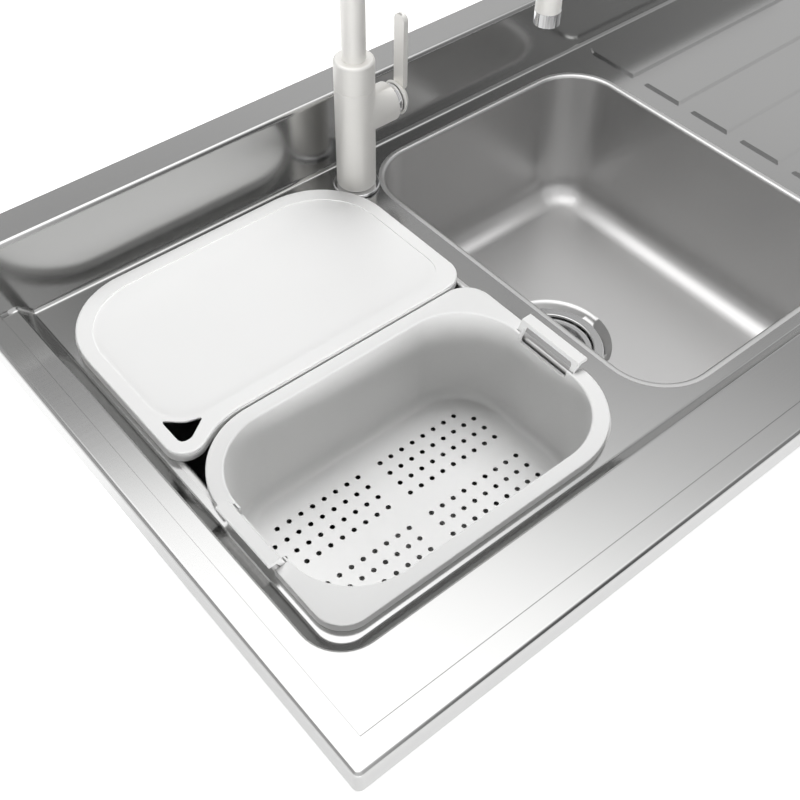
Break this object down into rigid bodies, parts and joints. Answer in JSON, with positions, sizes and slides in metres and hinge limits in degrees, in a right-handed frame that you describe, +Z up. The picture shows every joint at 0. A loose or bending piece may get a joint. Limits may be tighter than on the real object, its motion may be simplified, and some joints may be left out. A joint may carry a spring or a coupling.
{
  "type": "kitchen sink",
  "caption": "Top-mount steel kitchen sink with an upstand, two bowls, a fluted drainer, waste fittings, a single-lever swivel tap, and a cutting board and colander over one bowl.",
  "frame": {"origin": "middle of the 1200 by 600 mm footprint, on the plane where the frame rails rest on the cabinet", "axes": "+X to the right along the length, +Y to the back where the upstand is, +Z up"},
  "size_m": [1.2, 0.6, 0.6605],
  "materials": {
    "brushed_steel_sheet": "fine brushed stainless steel",
    "frame_rail": "mill finish",
    "zinc_plated_steel": "zinc plated",
    "sound_pad": "matt bitumen",
    "seal_rubber": "matt",
    "polished_steel": "polished",
    "waste_plastic": "satin",
    "white_board": "satin",
    "white_colander": "satin",
    "polished_chrome": "polished",
    "satin_tap": "satin",
    "brass_shank": "machined",
    "cartridge_plastic": "matt"
  },
  "bodies": {
    "sink": {"sink_top": "brushed_steel_sheet", "left_bowl": "brushed_steel_sheet", "right_bowl": "brushed_steel_sheet", "front_rail": "frame_rail", "left_rail": "frame_rail", "right_rail": "frame_rail", "rear_rail_left": "frame_rail", "rear_rail_right": "frame_rail", "divider_rail": "frame_rail", "drainer_rail_inner": "frame_rail", "drainer_rail_outer": "frame_rail", "left_sound_pad": "sound_pad", "right_sound_pad": "sound_pad", "fixing_brackets": "zinc_plated_steel", "bracket_screws": "zinc_plated_steel", "left_drain_gasket": "seal_rubber", "left_waste_flange": "polished_steel", "left_under_gasket": "seal_rubber", "left_waste_body": "waste_plastic", "left_waste_screw": "polished_steel", "left_tail_seal": "seal_rubber", "left_tail_pipe": "waste_plastic", "left_tail_nut": "waste_plastic", "right_drain_gasket": "seal_rubber", "right_waste_flange": "polished_steel", "right_under_gasket": "seal_rubber", "right_waste_body": "waste_plastic", "right_waste_screw": "polished_steel", "right_tail_seal": "seal_rubber", "right_tail_pipe": "waste_plastic", "right_tail_nut": "waste_plastic", "tap_gasket": "seal_rubber", "tap_base_ring": "polished_chrome", "tap_shank": "brass_shank", "shank_rubber_washer": "seal_rubber", "shank_steel_washer": "zinc_plated_steel", "shank_nut": "brass_shank", "tap_body": "satin_tap", "cartridge": "cartridge_plastic", "cartridge_retainer": "brass_shank", "spout_seals": "seal_rubber"},
    "left_strainer": {"left_basket": "polished_steel", "left_basket_seal": "seal_rubber", "left_basket_knob": "polished_steel"},
    "right_strainer": {"right_basket": "polished_steel", "right_basket_seal": "seal_rubber", "right_basket_knob": "polished_steel"},
    "spout": {"spout": "satin_tap", "aerator_housing": "polished_chrome", "aerator_insert": "cartridge_plastic"},
    "valve_rotor": {"cartridge_rotor": "cartridge_plastic", "lever_pin": "zinc_plated_steel", "cartridge_cap": "polished_chrome"},
    "lever": {"tap_lever": "satin_tap", "lever_screw": "polished_chrome"},
    "board": {"cutting_board": "white_board"},
    "colander": {"colander": "white_colander"}
  },
  "joints": [
    {"name": "left_strainer_lift", "type": "slide", "parent": "sink", "child": "left_strainer", "axis": [0, 0, 1], "range_m": [0, 0.055]},
    {"name": "right_strainer_lift", "type": "slide", "parent": "sink", "child": "right_strainer", "axis": [0, 0, 1], "range_m": [0, 0.055]},
    {"name": "spout_swivel", "type": "hinge", "parent": "sink", "child": "spout", "pos_m": [-0.1915, 0.218, 0.16], "axis": [0, 0, 1], "range_deg": [-110, 110]},
    {"name": "lever_temperature", "type": "hinge", "parent": "sink", "child": "valve_rotor", "pos_m": [-0.1495, 0.218, 0.1], "axis": [1, 0, 0], "range_deg": [-50, 50]},
    {"name": "lever_flow", "type": "hinge", "parent": "valve_rotor", "child": "lever", "pos_m": [-0.1495, 0.218, 0.1], "axis": [0, 1, 0], "range_deg": [0, 22]},
    {"name": "board_lift", "type": "slide", "parent": "sink", "child": "board", "axis": [0, 0, 1], "range_m": [0, 0.12]},
    {"name": "colander_lift", "type": "slide", "parent": "sink", "child": "colander", "axis": [0, 0, 1], "range_m": [0, 0.15]}
  ]
}
